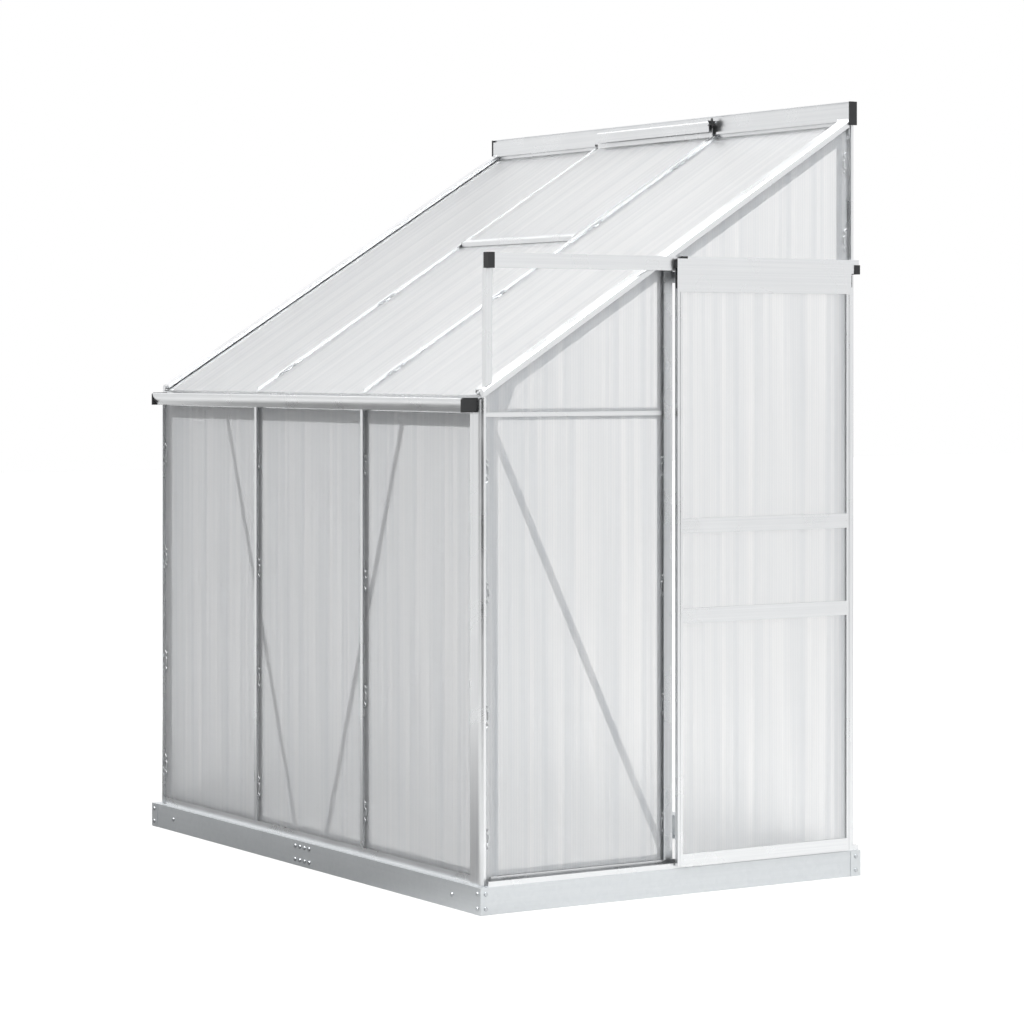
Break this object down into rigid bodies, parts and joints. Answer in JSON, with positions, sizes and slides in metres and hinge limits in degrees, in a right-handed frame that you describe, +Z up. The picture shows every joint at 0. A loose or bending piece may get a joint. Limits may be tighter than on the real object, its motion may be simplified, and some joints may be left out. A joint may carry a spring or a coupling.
{
  "type": "lean-to greenhouse",
  "caption": "Lean-to greenhouse with a sliding end door on a track, a hinged roof vent with a stay, an eave gutter, and an aluminium frame of twin-wall panes on a steel base.",
  "frame": {"origin": "middle of the footprint, on the ground", "axes": "+X along the front wall towards the door end, +Y towards the house wall, +Z up"},
  "size_m": [1.92, 1.27, 2.14],
  "materials": {
    "galvanised_steel": "galvanised sheet, satin",
    "mill_aluminium": "plain extruded, satin",
    "twin_wall_sheet": "clear ribbed polycarbonate",
    "black_plastic": "moulded, satin",
    "zinc_bolts": "zinc plated",
    "spring_wire": "stainless spring wire",
    "nylon": "natural nylon"
  },
  "bodies": {
    "frame": {"back_post_left": "mill_aluminium", "back_post_right": "mill_aluminium", "base_back_left": "galvanised_steel", "base_back_right": "galvanised_steel", "base_corner_brackets": "galvanised_steel", "base_end_left": "galvanised_steel", "base_end_right": "galvanised_steel", "base_front_left": "galvanised_steel", "base_front_right": "galvanised_steel", "base_joint_plates": "galvanised_steel", "bolts": "zinc_bolts", "corner_post_left": "mill_aluminium", "corner_post_right": "mill_aluminium", "door_bottom_guide": "mill_aluminium", "door_header": "mill_aluminium", "door_post": "mill_aluminium", "door_track": "mill_aluminium", "door_track_caps": "black_plastic", "door_track_post": "mill_aluminium", "eave_gussets": "mill_aluminium", "eave_gutter": "mill_aluminium", "end_braces": "mill_aluminium", "end_panels_left": "twin_wall_sheet", "end_panels_right": "twin_wall_sheet", "end_rafter_left": "mill_aluminium", "end_rafter_right": "mill_aluminium", "front_bars": "mill_aluminium", "front_braces": "mill_aluminium", "front_panels": "twin_wall_sheet", "gable_bar_left": "mill_aluminium", "gable_bar_right": "mill_aluminium", "glazing_clips": "spring_wire", "gutter_caps": "black_plastic", "mid_post_left": "mill_aluminium", "mid_rafters": "mill_aluminium", "ridge_bar": "mill_aluminium", "ridge_caps": "black_plastic", "roof_panels": "twin_wall_sheet", "sill_end_left": "mill_aluminium", "sill_end_right": "mill_aluminium", "sill_front": "mill_aluminium", "vent_hinge_rail": "mill_aluminium", "vent_sill": "mill_aluminium", "vent_stay_peg": "mill_aluminium"},
    "door": {"door_stile_front": "mill_aluminium", "door_stile_back": "mill_aluminium", "door_top_rail": "mill_aluminium", "door_bottom_rail": "mill_aluminium", "door_mid_rails": "mill_aluminium", "door_panels": "twin_wall_sheet", "door_rail_plugs": "black_plastic", "door_hangers": "mill_aluminium"},
    "door_roller_front": {"door_roller_front": "nylon"},
    "door_roller_back": {"door_roller_back": "nylon"},
    "vent": {"vent_plugs": "black_plastic", "vent_top_bar": "mill_aluminium", "vent_side_bars": "mill_aluminium", "vent_bottom_bar": "mill_aluminium", "vent_panel": "twin_wall_sheet"},
    "vent_stay": {"vent_stay": "mill_aluminium"}
  },
  "joints": [
    {"name": "door_slide", "type": "slide", "parent": "frame", "child": "door", "axis": [0, -1, 0], "range_m": [0, 0.55]},
    {"name": "roller_front_spin", "type": "hinge", "parent": "door", "child": "door_roller_front", "pos_m": [0.935, 0.056, 1.67517], "axis": [1, 0, 0], "continuous": true},
    {"name": "roller_back_spin", "type": "hinge", "parent": "door", "child": "door_roller_back", "pos_m": [0.935, 0.542, 1.67517], "axis": [1, 0, 0], "continuous": true},
    {"name": "vent_hinge", "type": "hinge", "parent": "frame", "child": "vent", "pos_m": [-0.00375, 0.603, 2.12], "axis": [-1, 0, 0], "range_deg": [0, 45]},
    {"name": "vent_stay_pivot", "type": "hinge", "parent": "vent", "child": "vent_stay", "pos_m": [-0.00375, 0.14, 1.76962], "axis": [1, 0, 0], "range_deg": [-125, 0]}
  ],
  "couplings": [
    {"joint": "roller_front_spin", "follows": "door_slide", "rad_per_m": 90.909},
    {"joint": "roller_back_spin", "follows": "door_slide", "rad_per_m": 90.909}
  ]
}
